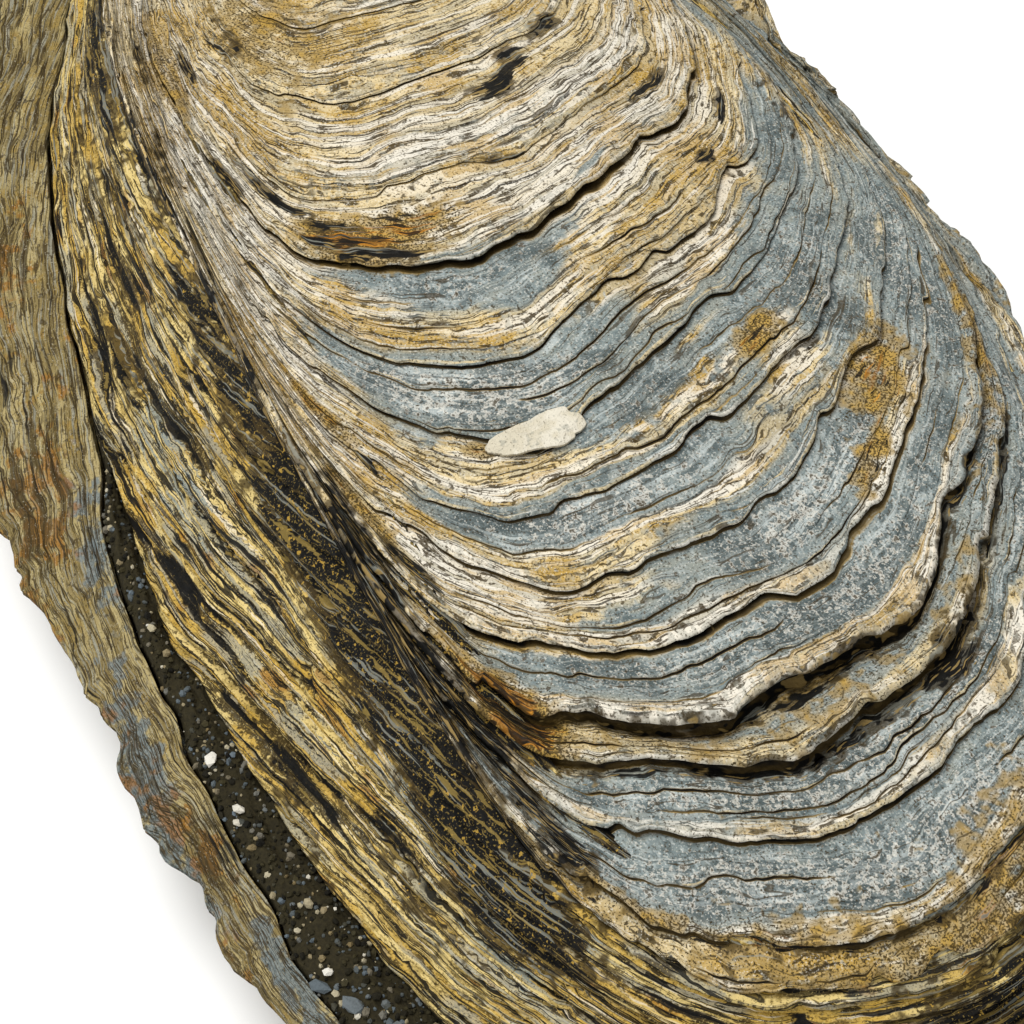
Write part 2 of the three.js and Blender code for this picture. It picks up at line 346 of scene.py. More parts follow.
rustStains = [
    (45, -37, 2.4, 15, 1.1), (43.4, -25, 1.8, 10, 0.95), (76.5, 27, 3.6, 9, 0.85), (79, 19, 1.4, 6, 0.95),
    (88, -42, 3.2, 9, 1.3), (89, 5, 2, 60, 0.5), (66, 14, 1.2, 5, 1), (67.5, -58, 1.5, 10, 0.9),
    (77, -57, 2, 8, 0.9), (24, -60, 7, 34, 0.7), (45, -100, 6, 14, 0.8), (88, 50, 3, 14, 0.8),
    (98, -62, 6, 6, 0.8), (104.5, 20, 2, 70, 0.65), (110, 12, 9, 40, 0.95), (116, -85, 8, 22, 0.7),
    (63, -28, 0.8, 4, 0.9), (103, -30, 1.5, 20, 0.8),
]
blueStains = [
    (48.6, -20, 2.6, 24, 1.15), (50.8, -11, 1.6, 9, 1.1), (45.7, 8, 0.8, 5, 0.9), (49, -46, 1, 6, 0.8),
    (58.6, -27, 3.6, 30, 1.3), (62.6, -44, 2.4, 14, 0.9), (64, -6, 4, 14, 1), (66, 26, 9, 24, 1.05),
    (60, 46, 6, 16, 0.95), (70.2, -17, 3.4, 26, 1.2), (76.5, 8, 4.6, 22, 1.2), (78.4, -18, 1.6, 12, 0.9),
    (83.2, 0, 3.4, 52, 1.15), (88.6, 6, 1.2, 40, 0.8), (93.4, -4, 3.4, 50, 1.2), (99.6, -10, 4.4, 56, 1.2),
    (78, 48, 12, 18, 1.1), (92, 40, 12, 24, 1.15), (62, 75, 16, 22, 0.75), (88, 85, 20, 26, 0.75),
    (110, -55, 6, 16, 0.7), (106, 60, 8, 60, 0.7), (80, 130, 26, 40, 0.6), (118, -95, 5, 12, 0.6),
]
paleStains = [  # where bundles of layers are bleached cream to nearly white, and no blue shows
    (66.8, -24, 0.9, 24, 0.95), (72.4, -8, 0.8, 20, 0.95), (76, -38, 2.6, 11, 0.95), (80.2, -5, 1, 46, 0.85),
    (85.8, 0, 0.8, 50, 0.7), (95, -8, 0.8, 50, 0.8), (102.5, 0, 0.9, 50, 0.8), (68.5, 17, 2.6, 5, 0.8),
    (58, 12, 1.6, 8, 0.7), (56, -78, 10, 18, 0.95), (66, -60, 6, 14, 0.8), (36, 0, 12, 50, 0.3),
    (90, -48, 6, 8, 0.5), (75, 24, 1, 12, 0.7), (91.5, 30, 0.8, 20, 0.6),
]


def stainsAt(reach, angle):  # strengths of the blue, rust and black stains
    return joined(*[patches(reach, angle, spots) for spots in (blueStains, rustStains, blackStains)])


# Every layer edge of the crown, in order: reach, step height, and 1 for a main ledge
def crownEdges():
    random = np.random.default_rng(crown["seed"])
    edges = []
    before = crown["firstReach"]
    for reach, step in [*crown["ledges"], (shell["crownReach"], crown["lastStep"])]:
        for share in crown["thinEdges"]:
            if reach - before > crown["narrow"] or share > 0.5:
                place = share + random.uniform(-crown["thinShift"], crown["thinShift"])
                edges.append((before + (reach - before) * place, random.uniform(*crown["thinStep"]), 0))
        edges.append((reach, step, 1))
        before = reach
    return edges


# Where each edge runs: its reach plus a shared wander, its own ragged line and bites out of it,
# all as plan distances over the spread of the lines, and then kept in order
def edgePlaces(edges, angle, turn):
    places = []
    ledges = 0
    for index, (reach, _, main) in enumerate(edges):
        perimeter = evenColumns(reach, 2)[2]
        room = np.maximum(crown["leastSpread"], spread(reach, angle))
        size, length = crown["wander"]
        together = size * noise(turn, np.array([reach / 3.5]), max(5, round(perimeter / length)), 31)
        size, length = crown["ragged"][1 - main]
        alone = size * raggedLine(turn, perimeter, length, 1000 + 7 * index)
        size, length = crown["teeth"]
        alone += size * raggedLine(turn, perimeter, length, 3000 + 7 * index)
        bites = raggedLine(turn, perimeter, 5, 5000 + 7 * index)
        chipped = crown["chips"][1 - main] * rampUp(bites, 0.05, 0.85)
        ledges += main
        tongue = sum(length * rampUp(-np.abs(np.degrees(angle) - at) / half, -1, -0.1)
                     for number, at, half, length in crown["tongues"] if main and number == ledges - 1)
        back, rougher = crown["tornBack"]
        if reach > crown["tornFrom"]:
            torn = 1 + rougher * np.minimum(1, 1.4 - 1.4 * room)
            alone, chipped = alone * torn, chipped * torn
        if index == len(edges) - 1:
            back = back * (1 + raggedLine(turn, perimeter, 16, 41))
            together -= back * np.minimum(1, 1.6 - 1.6 * room)
        places.append(reach + (together + alone - chipped + tongue) / room)
    order = crown["closest"] * np.arange(len(edges))[:, None]
    return np.minimum.accumulate((np.array(places) - order)[::-1], axis=0)[::-1] + order


# Step heights along each edge: their size times slow noise, less where the lines crowd together
def edgeSteps(edges, angle, turn):
    steps = []
    for index, (reach, step, main) in enumerate(edges):
        share, length = crown["swing"][1 - main]
        swing = share * raggedLine(turn, evenColumns(reach, 2)[2], length, 9000 + 7 * index)
        worn = 1 if reach > crown["dorsal"][0] else crown["dorsal"][1]
        steps.append(worn * step * np.maximum(0.05, 1 + swing) * (0.12 + 0.88 * spread(reach, angle)))
    return np.array(steps)


# Rows of the grid around one edge: offset in reach, share of the step passed, push out for each mm of step,
# and the marks of lip and of crevice, which paints the feet of the steps dark: dirt there, and painted shade
mainRows = [(-0.5, 0, 0, 0, 0), (-0.14, 0.02, 0.1, 0.7, 0), (0, 0.2, 0.25, 0.8, 0), (0, 0.6, -0.05, 0, 1),
            (0, 1, -0.3, 0, 1), (0.35, 1, 0, 0, 0.75), (0.7, 1, 0, 0, 0)]
thinRows = [(-0.16, 0, 0, 0.4, 0), (0, 0.15, 0.1, 0.8, 0), (0.02, 1, -0.1, 0, 1), (0.14, 1, 0, 0, 0.8),
            (0.3, 1, 0, 0, 0)]


def foldDepth(inwards):  # how far the crown has rounded off, this far inwards of its edge
    width, depth = crown["fold"]
    return depth * np.clip(1 - inwards / width, 0, 1) ** 2


# Crown surface between two ledges: each row follows a layer edge. Height is the dome, less the steps passed,
# plus the same steps evened out over a few millimetres, plus swells and fine weathering
def crownPiece(name, firstLedge, lastLedge, columns, material):
    angle, turn, perimeter = evenColumns(referenceReach, columns)
    edges = crownEdges()
    places = edgePlaces(edges, angle, turn)
    steps = edgeSteps(edges, angle, turn)
    passed = np.cumsum(steps, axis=0)
    mains = [i for i, edge in enumerate(edges) if edge[2]]
    low = mains[firstLedge] if firstLedge >= 0 else -1
    high = mains[lastLedge]
    tones = np.random.default_rng(crown["seed"] + 1).uniform(0, 1, len(edges) + 1)
    even = [edge[0] for edge in edges]
    first = crown["firstReach"]
    rows = []  # even reach, reach, steps passed, push, sink, lip, crevice, tone
    if low < 0:
        rows += [(reach, reach, 0, 0, 0, 0, 0, 0.5) for reach in (0.5 * first, first)]
    else:
        # Rows hidden under the ledge above carry the full crevice mark: painted shade under the ledge
        for back, sink in ((3, 1.2), (1.2, 0.4)):  # hidden under the ledge above
            rows.append((even[low], places[low] - back, passed[low], 0, sink, 0, 1, 0.5))
        rows.append((even[low] + 0.3, places[low] + 0.3, passed[low], 0, 0, 0, 0.8, tones[low + 1]))
    for i in range(low + 1, high + 1):
        main = edges[i][2]
        placeBefore, evenBefore = (places[i - 1], even[i - 1]) if i else (first, first)
        gapBack = places[i] - placeBefore
        gapOn = places[i + 1] - places[i] if i + 1 < len(edges) else np.ones(columns)
        above = passed[i] - steps[i]
        most, each = crown["plainRows"]
        middles = min(most, int(gapBack.mean() / each))
        for k in range(middles):
            share = (k + 1) / (middles + 1)
            rows.append((evenBefore + (even[i] - evenBefore) * share, places[i] - gapBack * (1 - share), above,
                         0, 0, 0, 0, tones[i]))
        # The crevice mark grows with the step's height as a shadow would: painted shade at the step's foot,
        # with dark dirt
        strength = np.minimum(1, steps[i] / 0.22) * (0.2 + 0.8 * spread(places[i], angle))
        for offset, drop, push, lip, creviceDirtAndShade in (mainRows if main else thinRows):
            if i == high and offset > 0:
                continue
            wide = offset * (np.clip(steps[i] / 1.5, 0.25, 1) if main and offset > 0 else 1)
            reach = places[i] + np.where(offset < 0, -np.minimum(-offset, 0.4 * gapBack),
                                         np.minimum(wide, 0.4 * gapOn))
            if i == len(edges) - 1:
                lip, creviceDirtAndShade = 0.3 * lip, 0.6 * creviceDirtAndShade
            rows.append((even[i] + offset, reach, above + drop * steps[i], push * steps[i], 0, lip * strength,
                         creviceDirtAndShade * strength, tones[i] if drop < 1 else tones[i + 1]))
    # Rows turned in under the last ledge carry the full crevice mark: painted shade under the ledge
    for back, sink in ((1.2, 0.6), (3, 2.2)):  # turned in under the last ledge
        rows.append((even[high], places[high] - back, passed[high], 0, sink, 0, 1, 0.5))
    nominal, reach, drop, push, sink, lip, creviceDirtAndShade, tone = wholeRows(rows, columns)
    half = crown["levelOver"] / 2
    level = sum(step * rampUp(reach - place, -half, half) for step, place in zip(steps, places))
    lobes = round(perimeter / 20)
    (setIn, full), (fading, gone) = crown["rightSide"]
    aside = rampUp(np.degrees(angle), setIn, full) * rampUp(-np.degrees(angle), -gone, -fading)
    lumps = crown["lumps"][0] + (crown["lumps"][1] - crown["lumps"][0]) * aside
    swell = lumps * noise(turn, reach / 11, lobes, 71)
    swell += 0.5 * lumps * noise(turn, reach / 5, lobes * 3, 72)
    weathering = crown["grain"] * noise(turn, reach / 0.9, round(perimeter / 1.6), 73)
    x, y = growthPoint(reach + waviness(reach, angle), angle)
    nx, ny = outwards(np.maximum(reach, 2), angle)
    inwards = np.maximum(0, shell["crownReach"] - reach) * spread(reach, angle)
    knobs = np.maximum(0, noise(turn, reach / 9, lobes * 3, 74)) + 0.14 * noise(turn, reach / 2, lobes * 12, 75)
    knobs *= crown["knobs"] * aside * rampUp(-inwards, -9, -2)
    swell += 0.6 * knobs
    push = push + 0.7 * knobs
    flank = rampUp(-inwards, -crown["fold"][0], -0.5) * (1 - 0.7 * spread(reach, angle))
    braided = flank * braid(turn, climbOf(angle) - inwards)
    z = domeHeight(x, y) + level - drop - sink + swell + weathering - foldDepth(inwards) + braided
    points = joined(x + nx * push, y + ny * push, z)
    radius = np.maximum(4, perimeter * reach / referenceReach / fullTurn)
    mainReaches = np.array([first, *[edge[0] for edge in edges if edge[2]]])
    place = np.clip(np.searchsorted(mainReaches, nominal, side="left"), 1, len(mainReaches) - 1)
    onwards = (nominal - mainReaches[place - 1]) / (mainReaches[place] - mainReaches[place - 1])
    lip = np.maximum(lip, 0.55 * rampUp(onwards, 0.5, 0.95) * (lip + creviceDirtAndShade < 0.3))
    lip = lip * rampUp(spread(np.maximum(reach, 2), angle), 0.1, 0.6)
    bleached = patches(nominal, angle, paleStains)
    tone = np.clip(0.7 * tone + bleached, 0, 1)
    # The braid's grooves on the flank are darkened by their depth: dirt and painted shade in them
    creviceDirtAndShade = np.maximum(creviceDirtAndShade, flank * rampUp(-braided, *wall["groove"]))
    stains = stainsAt(nominal, angle)
    stains[..., 0] = np.maximum(0, stains[..., 0] - 0.7 * bleached)
    gridPiece(name, points, {"flow": flowField(turn, radius, nominal), "marks": joined(lip, creviceDirtAndShade, tone),
                             "stains": stains}, material, ["upper_valve"])
    return points


# Loose white flake that lies across two layers: a thin plate with a ragged outline, bent to the crown under it
flake = {
    "reach": 63.7, "angle": -19.5,   # where its middle lies
    "half": (3.2, 1.5),              # half length and width in mm
    "corners": (1.04, 0.9, 0.96, 0.84, 0.86, 1.08, 1.0, 0.9, 0.8, 0.9, 0.82),  # size at its broken corners
    "turned": 6,                     # degrees it is turned from the ledge's direction
    "thickness": 0.16, "around": 16,  # and the length of its outline, in mm
    "columns": 120, "rings": 14,
    "bend": 1.7,                     # plan distance over which it spans the hollows under it
    "near": 6,                       # distance from its middle within which the crown carries it
}


# Flake surface: rings that shrink towards its middle, on a squared oval whose size runs from corner to corner
def flakePiece(crownPoints, material):
    turn = np.arange(flake["columns"]) / flake["columns"]
    bearing = fullTurn * turn
    middle = np.radians(flake["angle"])
    nx, ny = outwards(flake["reach"], middle)
    heading = math.atan2(nx, -ny) + math.radians(flake["turned"])
    size = (np.abs(np.cos(bearing)) ** 3 + np.abs(np.sin(bearing)) ** 3) ** (-1 / 3)
    corners = [*flake["corners"], flake["corners"][0]]
    size = size * np.interp(turn * (len(corners) - 1), np.arange(len(corners)), corners)
    size = size * (1 + 0.05 * raggedLine(turn, flake["around"], 1.6, 501)
                   + 0.06 * raggedLine(turn, flake["around"], 0.7, 505))
    long, wide = flake["half"][0] * size * np.cos(bearing), flake["half"][1] * size * np.sin(bearing)
    wide = wide * (1 + 0.25 * np.cos(bearing))
    mx, my = growthPoint(flake["reach"], middle)
    x = long * math.cos(heading) - wide * math.sin(heading)
    y = long * math.sin(heading) + wide * math.cos(heading)
    shares = np.array([*np.linspace(0.08, 0.97, flake["rings"]), 0.985, 1, 1.005, 1.005, 0.98, 0.6])[:, None]
    lifts = np.array([*[1] * (flake["rings"] + 1), 0.96, 0.85, -0.3, -0.5, -1.5])[:, None]
    plan = joined(mx + shares * x, my + shares * y)
    near = crownPoints.reshape(-1, 3)
    near = near[np.hypot(near[:, 0] - mx, near[:, 1] - my) < flake["near"]]
    away = np.hypot(plan[..., None, 0] - near[:, 0], plan[..., None, 1] - near[:, 1])
    under = (near[:, 2] - (away / flake["bend"]) ** 2).max(-1)  # it lies on the highest points near it
    z = under + 0.05 + flake["thickness"] * lifts + 0.05 * noise(turn, shares * 6, 12, 503)
    points = joined(plan[..., 0], plan[..., 1], z)
    blank = np.zeros_like(points)
    gridPiece("loose_flake", points, {"flow": points[:, ::-1], "marks": blank, "stains": blank},
              material)


# Wall: the broken edges of hundreds of layers, from the crown's fold down to the seam
wall = {
    "rows": 112, "columns": 730, "around": 300,
    # widths across, lengths along and heights of the braided ridges, in mm
    "ridges": [(1.5, 13, 0.45), (0.75, 7, 0.32), (0.36, 3.4, 0.16)],
    "climb": (-118, -42, 15),        # angles between which edges climb along the left side, and by how many mm
    "height": 20,                    # mm of layers between the crown's edge and the seam
    "shoulder": (4.5, 22, 0.35),     # how far the wall runs on under the crown, in how many rows, and how deep
    "ledge": (4.2, 0.9),             # spacing and depth of the few coarse ledges of the solid
    "slope": 0.85,                   # power that the height falls with
    # A groove's darkening stands for dirt in it and for painted shade
    "groove": (0.1, 0.5),            # depths below the mean surface between which a groove turns dark
    "ragged": (0.5, 6),              # plan distance that its foot wanders, and over what length
    "seed": 200,
}


# Stack of layer edges over a band: rows of share down the band, distance out, and marks. The boundaries between
# layers wander together and a little alone, and each layer stands out by its own ragged line
def layerStack(turn, perimeter, look):
    count, seed = look["layers"], look["seed"]

    def lines(number, length, start):  # a ragged line of its own for each layer
        return np.array([raggedLine(turn, perimeter, length, seed + start + 5 * k) for k in range(number)])

    even = np.linspace(0, 1, count + 1)[:, None]
    inside = rampUp(even, 0, 0.08) * rampUp(-even, -1, -0.92)
    drift = noise(turn, 3 + even * count / 7, round(perimeter / 15), seed)
    drift = drift + 0.4 * noise(turn, 3 + even * count / 4, round(perimeter / 5), seed + 1)
    bounds = even + inside * (look["wander"] * drift + look["alone"] * lines(count + 1, 7, 10))
    closest = 0.12 / count * np.arange(count + 1)[:, None]
    bounds = np.minimum(np.maximum.accumulate(bounds - closest, axis=0) + closest, 1)
    random = np.random.default_rng(seed + 2)
    tones = random.uniform(0, 1, count)
    size = random.uniform(-0.5, 0.6, count)[:, None]
    ragged = lines(count, 8, 900)
    out = look["standOut"] * (0.5 * size + 0.9 * ragged + 0.22 * lines(count, 1.6, 3900))
    deep = look["groove"] * np.clip(0.75 + 1.1 * np.roll(ragged, 3, axis=1), 0.1, 1.5)
    rows = []
    for k in range(count):
        gap = bounds[k + 1] - bounds[k]
        joint = np.minimum(out[k], out[max(0, k - 1)]) - deep[k]
        # Each layer's sunken joint takes a crevice mark by its depth: dark dirt, and painted shade in the joint
        for place, distance, lip, creviceDirtAndShade in ((0.02, joint, 0, deep[k] / look["groove"]),
                                              (0.28, out[k] - 0.1 * deep[k], 0.5, 0), (0.8, out[k], 1, 0)):
            rows.append((bounds[k] + place * gap, distance, lip, creviceDirtAndShade, tones[k]))
    rows.append((1, -0.5 * deep[-1], 0, 1, 0.5))
    return wholeRows(rows, len(turn))


# Distance in mm that layer edges have climbed: a smooth rise along the left side, and a slow return round the
# rest
def climbOf(angle):
    start, end, climb = wall["climb"]
    along = (np.degrees(angle) - start) % 360
    return 10 + climb * (rampUp(along, 0, end - start) - rampUp(along, end - start, 360))


# Braided ridges: noise stretched along the layers, in three sizes, less a sharp groove where a fourth noise
# passes nought
def braid(turn, across):
    stand = sum(height * noise(turn, across / width, round(wall["around"] / length), wall["seed"] + place)
                for place, (width, length, height) in enumerate(wall["ridges"]))
    sharp = np.abs(noise(turn, across / 1.1, round(wall["around"] / 14), wall["seed"] + 7))
    return stand - 0.45 * rampUp(-sharp, -0.14, 0)


def footOf(angle):  # plan distance of the wall's ragged foot from the crown's edge
    turn = (angle / fullTurn) % 1
    size, length = wall["ragged"]
    wander = size * raggedLine(turn, wall["around"], length, wall["seed"] + 11)
    return atStation(shell["wallFoot"], angle) + wander


# Wall surface: outwards from the crown's edge by the foot distance, down to the seam by a power of the share
def wallPiece(material):
    angle, turn, perimeter = evenColumns(shell["crownReach"], wall["columns"])
    share = np.linspace(0, 1, wall["rows"])[:, None] + np.zeros_like(turn)
    foot = footOf(angle)
    top = domeHeight(*outsideEdge(angle, 0)) - crown["fold"][1]
    across = share * wall["height"] + climbOf(angle)
    stand = braid(turn, across)
    spacing, depth = wall["ledge"]
    out = stand + 0.6 * depth * ((across / spacing) % 1 - 0.5) * np.minimum(1, foot / 6)
    out = out * (0.3 + 0.7 * rampUp(-share, -1, -0.94)) * np.minimum(1, 0.35 + foot / 12)
    bulge = 0.9 * np.sin(math.pi * np.minimum(1, share / 0.35)) * np.minimum(1, foot / 6)
    x, y = outsideEdge(angle, foot * share + 0.85 * out + bulge)
    z = top + (shell["seam"] - top) * share ** wall["slope"] + 0.35 * out
    points = joined(x, y, np.maximum(z, shell["seam"] + 0.02))
    far, rows, depth = wall["shoulder"]
    inwards = np.linspace(far, far / rows, rows)[:, None] + np.zeros_like(turn)
    above = braid(turn, climbOf(angle) - inwards)
    x, y = outsideEdge(angle, -inwards)
    z = domeHeight(x, y) - foldDepth(inwards) - depth + (0.35 + 0.65 * np.minimum(1, inwards / 2)) * above
    shoulder = joined(x, y, z)
    under = points[-1:] * 0.8 + points[-1].mean(0) * 0.2
    under[..., 2] = shell["seam"] + 0.5
    points = np.concatenate([shoulder[:1] - [0, 0, 2], shoulder, points, under])
    down = share * (top - shell["seam"] + 0.5 * foot)
    reach = shell["crownReach"] + np.concatenate([-inwards, down])
    across = np.concatenate([climbOf(angle) - inwards, across])
    stand = np.concatenate([above, stand])
    # Crevice mark: dark where the braid sinks below the mean surface, dirt and painted shade in the grooves
    creviceDirtAndShade = rampUp(-stand, *wall["groove"])
    lip = rampUp(stand, 0.15, 0.5)
    tone = 0.5 + 0.5 * noise(turn, across / 0.9, round(perimeter / 14), wall["seed"] + 8)
    rows = (reach, across, lip, creviceDirtAndShade, tone)
    reach, across, lip, creviceDirtAndShade, tone = (np.concatenate([row[:1], row, row[-1:]]) for row in rows)
    gridPiece("stacked_layer_edges", points, {
        "flow": flowField(turn, perimeter / fullTurn, 300 + across), "marks": joined(lip, creviceDirtAndShade, tone),
        "stains": stainsAt(reach, angle)}, material, ["upper_valve"])


# Lower valve: the flange's layers, the rim's ragged edge and the growth ledges of the cup under it
lower = {
    "columns": 560,
    "lipDrop": 0.5,                  # how far the flange starts below the seam
    "rimHeight": 12, "bulge": 0.3,   # level of the rim, and how far the flange swells
    "thickness": 1.4, "bevel": 1,    # height of the rim's edge, and how far it draws back below
    "sedimentEdge": 2.6, "gap": 0.3,  # depth of the sediment's edge under the seam, and the clearance to it
    "scar": (-25, 16, 25, 15),       # middle and half sizes of the flat the shell rests on
    "cupSteps": 6, "cupStepDepth": 1.1,
    "rimRagged": (1.0, 0.3, 1.05),   # long wander, fine teeth and bites of the rim, in mm
    # edge of the rim: share of its height down, share of the bevel back, and the marks of lip and of crevice,
    # the last a dark band of dirt and painted shade
    "edgeRows": [(0.3, 0.25, 1, 0), (0.42, 0.1, 0, 0.9), (0.62, 0.3, 0.6, 0), (0.75, 0.55, 0, 0.8),
                 (1, 0.9, 0.4, 0)],
    "seed": 60,
}
flangeLayers = {"layers": 18, "wander": 0.06, "alone": 0.02, "standOut": 0.2, "groove": 0.2, "seed": 7000}
cupLayers = {"layers": 16, "wander": 0.05, "alone": 0.012, "standOut": 0.3, "groove": 0.25, "seed": 8000}


# Lower valve surface: up out of the seam, over the flange to the rim, round the rim and down the cup to the
# scar
def lowerPiece(material):
    angle, turn, perimeter = evenColumns(shell["crownReach"], lower["columns"])
    inner = flangeStart(angle) + lower["gap"]
    outer = atStation(shell["rim"], angle) + 0.4 * waveSum(shell["rimWaves"], 0, angle)
    longer = perimeter + 90  # the rim is that much longer than the crown's edge
    wander, teeth, bite = lower["rimRagged"]
    outer = outer + wander * raggedLine(turn, longer, 12, 61) + teeth * raggedLine(turn, longer, 2, 63)
    outer = outer - bite * rampUp(raggedLine(turn, longer, 7, 65), 0.2, 0.9)
    lift = 0.5 * raggedLine(turn, longer, 14, 69)
    share, stand, *flangeMarks = layerStack(turn, longer, flangeLayers)
    fade = rampUp(share, 0, 0.1)
    x, y = outsideEdge(angle, inner + (outer - inner) * share)
    width = np.minimum(1, (outer - inner) / 4)
    rise = 4 * share * (1 - share) * (lower["bulge"] + 0.4 * noise(turn, share * 3 + 1, 40, 64) * width)
    high = shell["seam"] - lower["lipDrop"] * (1 - 1.3 * shutShare(angle))
    z = high + (lower["rimHeight"] - high) * share
    flange = joined(x, y, z + rise + stand * fade * width + lift * share * width)
    deep = shell["seam"] - lower["sedimentEdge"] - lower["gap"]
    hidden = joined(*outsideEdge(angle, inner), deep)[None]
    points = [0.7 * hidden + 0.3 * hidden[0].mean(0), hidden, flange]
    flangeMarks = joined(*flangeMarks)
    marks = [flangeMarks[:1], flangeMarks[:1], flangeMarks]
    for down, back, lip, creviceDirtAndShade in lower["edgeRows"]:
        z = flange[-1, :, 2] - lower["thickness"] * down
        points.append(joined(*outsideEdge(angle, outer - lower["bevel"] * back), z)[None])
        marks.append(np.broadcast_to([lip, creviceDirtAndShade, 0.5 * down], (1, len(turn), 3)))
    share, stand, *cupMarks = layerStack(turn, perimeter, cupLayers)
    scarX, scarY, halfLength, halfWidth = lower["scar"]
    scar = joined(scarX + halfLength * np.cos(angle), scarY + halfWidth * np.sin(angle))
    edge = points[-1][0]
    plan = edge[None, :, :2] * (1 - share[..., None]) + scar[None] * share[..., None]
    steps = lower["cupStepDepth"] * ((share * lower["cupSteps"] + 0.5) % 1 - 0.5) * (1 - share)
    z = edge[:, 2] * (1 - share) ** 1.5 - steps * rampUp(share, 0.04, 0.12) - stand * rampUp(-share, -1, -0.8)
    points.append(joined(plan[..., 0], plan[..., 1], np.maximum(z, 0.04 * (1 - share))))
    marks.append(joined(*cupMarks))
    for inset in (0.92, 0.6, 0.25):  # the worn scar itself stays level
        flat = [scarX, scarY] + (scar - [scarX, scarY]) * inset
        points.append(joined(flat[:, 0], flat[:, 1], 0.0)[None])
        marks.append(np.broadcast_to([0, 0, 0.5], (1, len(turn), 3)))
    points = np.concatenate(points)
    run = np.linalg.norm(np.diff(points, axis=0), axis=-1)
    reach = 130 + np.concatenate([np.zeros((1, len(turn))), np.cumsum(run, axis=0)])
    around = np.linalg.norm(np.roll(points, -1, axis=1) - points, axis=-1).sum(1)
    shrink = np.minimum(1, around / perimeter)[:, None]  # towards the scar, where the lines close in
    blue = np.clip(0.55 + 0.9 * shrink * noise(turn, reach / 5, 34, 91), 0, 1)
    blue = blue * rampUp(np.degrees(angle), -112, -92)  # none on the beak's left
    rust = np.clip(0.55 + 0.9 * shrink * noise(turn, reach / 6, 28, 92), 0, 1)
    black = np.clip(0.1 + 0.9 * shrink * noise(turn, reach / 4, 40, 93), 0, 1)
    flow = flowField(turn, perimeter / fullTurn, reach)
    flow[..., :2] *= shrink[..., None]
    gridPiece("lower_valve_shell", points, {"flow": flow, "marks": np.concatenate(marks),
                                            "stains": joined(blue, rust, black)},
              material, ["lower_valve"])


# Sediment: dark cemented sand in the seam, a rough bed with real grains and a few larger pebbles and chips
sediment = {
    "columns": 900, "rows": 14,
    "under": 1.2,                    # how far the bed runs in under the upper valve, in mm
    "rough": (0.4, 0.26),            # heights of the lumps and of the grit
    "low": 0.45, "belly": 0.75,      # how far its edges lie under the seam, and how far its middle swells
    "grains": 4200, "grainSize": (0.09, 0.24),  # radius in mm, medium sand
    "seed": 404,
    # pebbles and chips: angle in degrees, share across the strip, half sizes in mm, tone (0 dark to 1 pale)
    "pebbles": [(-59, 0.97, (1.0, 0.55, 0.4), 0.42), (-56.6, 0.8, (1.1, 0.7, 0.5), 0.47),
                (-59.3, 0.78, (0.45, 0.35, 0.3), 1), (-76.3, 0.7, (0.75, 0.6, 0.3), 1),
                (-72, 0.7, (0.6, 0.4, 0.3), 0.95), (-71.2, 0.82, (0.5, 0.35, 0.25), 0.9),
                (-64, 0.5, (0.5, 0.4, 0.3), 0.75), (-87, 0.5, (0.4, 0.3, 0.25), 0.8),
                (-30, 0.5, (1.2, 0.8, 0.5), 0.6), (-8, 0.4, (0.9, 0.6, 0.5), 0.9),
                (24, 0.5, (0.7, 0.5, 0.4), 0.3), (70, 0.5, (0.5, 0.35, 0.3), 0.9),
                (120, 0.5, (0.5, 0.4, 0.3), 0.7)],
}


# Height of the bed: the seam's level with slow lumps and grit, lowest at both edges of the strip
def bedHeight(turn, share, perimeter):
    lumps = noise(turn, 2 + share * 3, round(perimeter / 3), sediment["seed"])
    grit = noise(turn, 2 + share * 8, round(perimeter / 0.9), sediment["seed"] + 1)
    belly = 4 * np.clip(share, 0, 1) * (1 - np.clip(share, 0, 1))
    level = shell["seam"] - sediment["low"] + sediment["belly"] * belly
    return level + sediment["rough"][0] * lumps * belly + sediment["rough"][1] * grit


def shutShare(angle):  # 1 where the seam is pressed shut on the beak's left
    return rampUp(-np.degrees(angle), 94, 106) * rampUp(np.degrees(angle), -172, -160)


def flangeStart(angle):  # the flange starts close to the wall where the seam is shut
    foot = footOf(angle)
    turn = (angle / fullTurn) % 1
    ragged = 0.55 * raggedLine(turn, wall["around"], 5, lower["seed"])
    return foot + (atStation(shell["sediment"], angle) + ragged - foot) * (1 - 1.03 * shutShare(angle))


def stripPoint(angle, share):  # plan point across the strip, from the wall's foot to the flange's lip
    start = footOf(angle)
    return outsideEdge(angle, start + (flangeStart(angle) - start) * share)


# Bed of the sediment: from under the upper valve across the strip, then down behind the flange and back in
def sedimentPiece(material):
    angle, turn, perimeter = evenColumns(shell["crownReach"], sediment["columns"])
    share = np.linspace(0, 1, sediment["rows"])[:, None] + np.zeros_like(turn)
    strip = joined(*stripPoint(angle, share), bedHeight(turn, share, perimeter))
    points = [joined(*outsideEdge(angle, footOf(angle) - sediment["under"]), shell["seam"] - 0.4)[None], strip]
    for inset in (0, 3):
        floor = shell["seam"] - lower["sedimentEdge"]
        points.append(joined(*outsideEdge(angle, flangeStart(angle) - inset), floor)[None])
    points = np.concatenate(points)
    reach = 120 + np.linspace(0, 6, len(points))[:, None] + np.zeros_like(turn)
    gridPiece("sediment_bed", points, {
        "flow": flowField(turn, perimeter / fullTurn, reach), "grain": np.zeros_like(points)},
        material, ["sediment_fill"])


